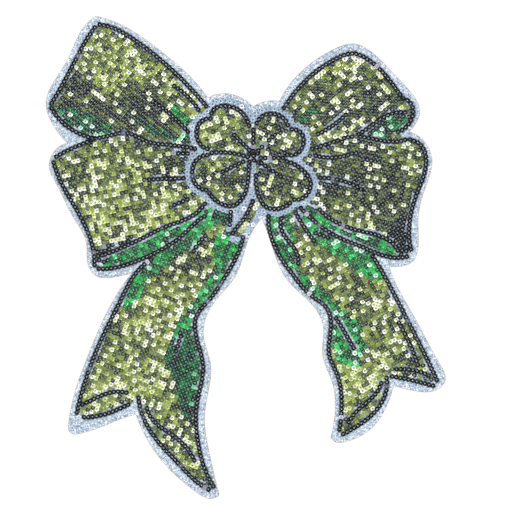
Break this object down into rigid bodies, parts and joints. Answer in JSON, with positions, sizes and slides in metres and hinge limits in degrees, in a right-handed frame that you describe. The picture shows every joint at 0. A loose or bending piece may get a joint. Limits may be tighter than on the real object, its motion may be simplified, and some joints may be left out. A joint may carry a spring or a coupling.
{
  "type": "sequin applique patch",
  "caption": "Flat sequinned applique patch shaped as a ribbon bow with a four-leaf clover knot, lime and green with black outline rows on pale glitter cloth.",
  "frame": {"origin": "centre of the cloth's outline box, on the back face of the felt", "axes": "+Z out of the sequinned face, +Y up the bow, +X to the right as the face is looked at"},
  "size_m": [0.246, 0.297, 0.0027],
  "materials": {
    "backing_felt": "matte",
    "glitter_cloth": "glitter",
    "thread": "matte",
    "lime_sequin": "gloss",
    "green_sequin": "gloss",
    "dark_green_sequin": "gloss",
    "black_sequin": "gloss",
    "pale_sequin": "gloss"
  },
  "bodies": {
    "root": {"backing_felt": "backing_felt", "clover_knot": "black_sequin", "clover_lower_left_lime": "lime_sequin", "clover_lower_left_outline": "black_sequin", "clover_lower_left_pale_row": "pale_sequin", "clover_lower_right_lime": "lime_sequin", "clover_lower_right_outline": "black_sequin", "clover_lower_right_pale_row": "pale_sequin", "clover_seams": "black_sequin", "clover_upper_left_lime": "lime_sequin", "clover_upper_left_outline": "black_sequin", "clover_upper_left_pale_row": "pale_sequin", "clover_upper_right_lime": "lime_sequin", "clover_upper_right_outline": "black_sequin", "clover_upper_right_pale_row": "pale_sequin", "ground_cloth": "glitter_cloth", "left_band_corner_black": "black_sequin", "left_band_green": "green_sequin", "left_band_rim": "black_sequin", "left_tail_creases": "black_sequin", "left_tail_fold_green": "dark_green_sequin", "left_tail_green": "green_sequin", "left_tail_hems": "black_sequin", "left_tail_inner_rim": "black_sequin", "left_tail_lime": "lime_sequin", "left_tail_outer_rim": "black_sequin", "left_tail_point_rims": "black_sequin", "left_tail_shadow_green": "dark_green_sequin", "lower_left_loop_corner_black": "black_sequin", "lower_left_loop_creases": "black_sequin", "lower_left_loop_lime": "lime_sequin", "lower_left_loop_rim": "black_sequin", "lower_right_loop_corner_black": "black_sequin", "lower_right_loop_creases": "black_sequin", "lower_right_loop_lime": "lime_sequin", "lower_right_loop_rim": "black_sequin", "right_band_green": "green_sequin", "right_band_rim": "black_sequin", "right_tail_creases": "black_sequin", "right_tail_green": "green_sequin", "right_tail_hems": "black_sequin", "right_tail_inner_rim": "black_sequin", "right_tail_lime": "lime_sequin", "right_tail_outer_rim": "black_sequin", "right_tail_point_rims": "black_sequin", "row_threads": "thread", "stem_black_row": "black_sequin", "stem_lime_row": "lime_sequin", "stem_pale_rows": "pale_sequin", "upper_left_loop_creases": "black_sequin", "upper_left_loop_green": "green_sequin", "upper_left_loop_lime": "lime_sequin", "upper_left_loop_rim": "black_sequin", "upper_right_loop_creases": "black_sequin", "upper_right_loop_green": "green_sequin", "upper_right_loop_lime": "lime_sequin", "upper_right_loop_rim": "black_sequin"}
  },
  "joints": []
}
